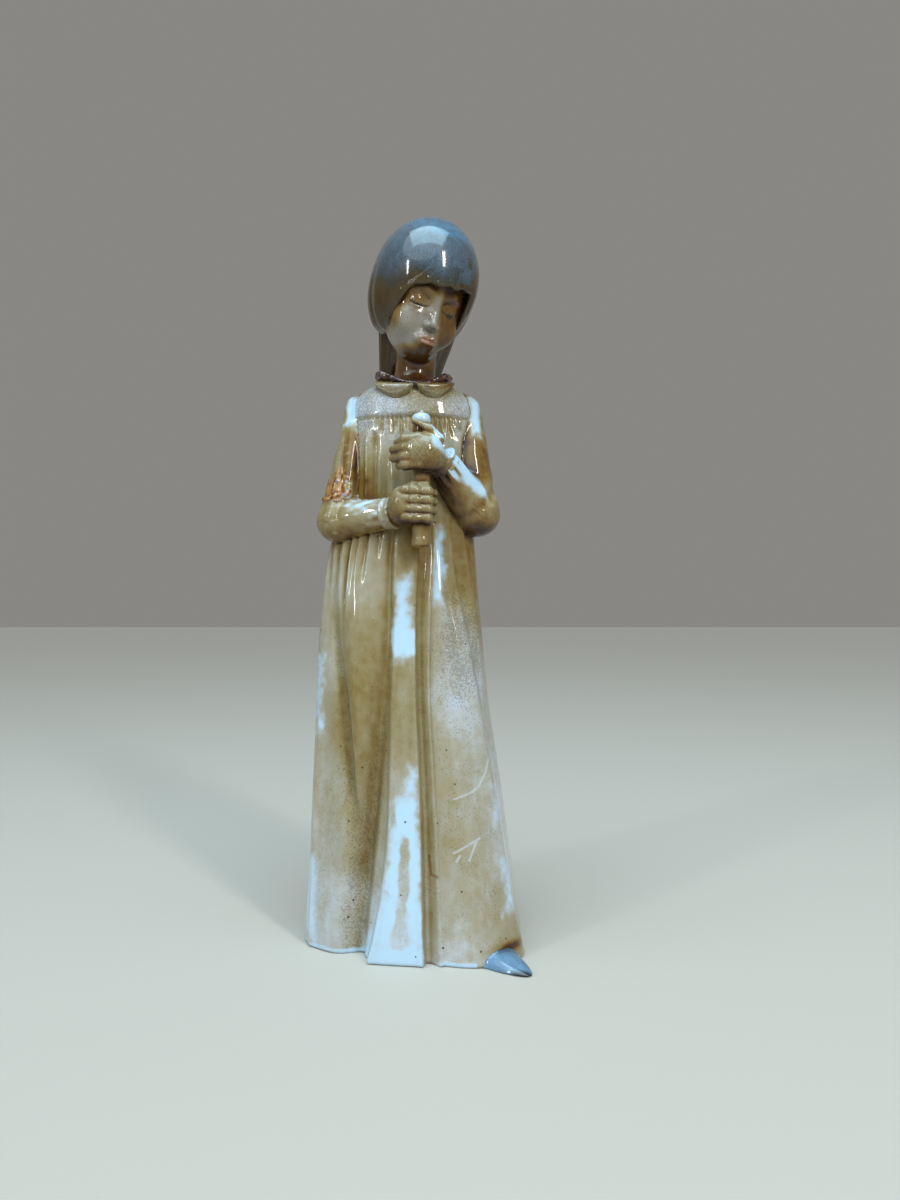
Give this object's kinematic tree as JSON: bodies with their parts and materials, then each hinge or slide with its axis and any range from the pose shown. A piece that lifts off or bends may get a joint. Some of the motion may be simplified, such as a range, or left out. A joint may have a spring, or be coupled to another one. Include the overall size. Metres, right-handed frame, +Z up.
{
  "type": "porcelain figurine",
  "caption": "Slim standing glazed porcelain figurine of a girl in a long pleated nightgown, holding a candle upright in both hands, on a flat foot ring.",
  "frame": {"origin": "middle of the figurine's bounding box, on the plane that it stands on", "axes": "+Z up along the figurine; the girl looks along -Y; +X is at the viewer's right"},
  "size_m": [0.0658, 0.0584, 0.21],
  "materials": {
    "dress_glaze": "gloss glaze over off-white porcelain, stained ochre",
    "sleeve_glaze": "gloss glaze, stained ochre and amber",
    "collar_glaze": "gloss glaze, stained brown",
    "skin_glaze": "satin to gloss glaze, pale flesh with amber stain",
    "hair_glaze": "gloss grey-blue glaze",
    "slipper_glaze": "gloss grey-blue glaze",
    "candle_glaze": "gloss glaze, stained ochre",
    "wick_glaze": "brown stained glaze",
    "base_biscuit": "matt unglazed porcelain",
    "old_adhesive": "aged brown adhesive, semi-gloss"
  },
  "bodies": {
    "root": {"dress_body": "dress_glaze", "base_disc": "base_biscuit", "slipper_toe": "slipper_glaze", "right_sleeve": "sleeve_glaze", "left_sleeve": "sleeve_glaze", "right_cuff": "sleeve_glaze", "left_cuff": "sleeve_glaze", "right_hand": "skin_glaze", "left_hand": "skin_glaze", "head": "skin_glaze", "candle": "candle_glaze", "wick": "wick_glaze", "collar_right": "collar_glaze", "collar_left": "collar_glaze", "hair_cap": "hair_glaze", "hair_fall": "hair_glaze", "neck_adhesive_bead": "old_adhesive", "elbow_adhesive_bead": "old_adhesive"}
  },
  "joints": []
}
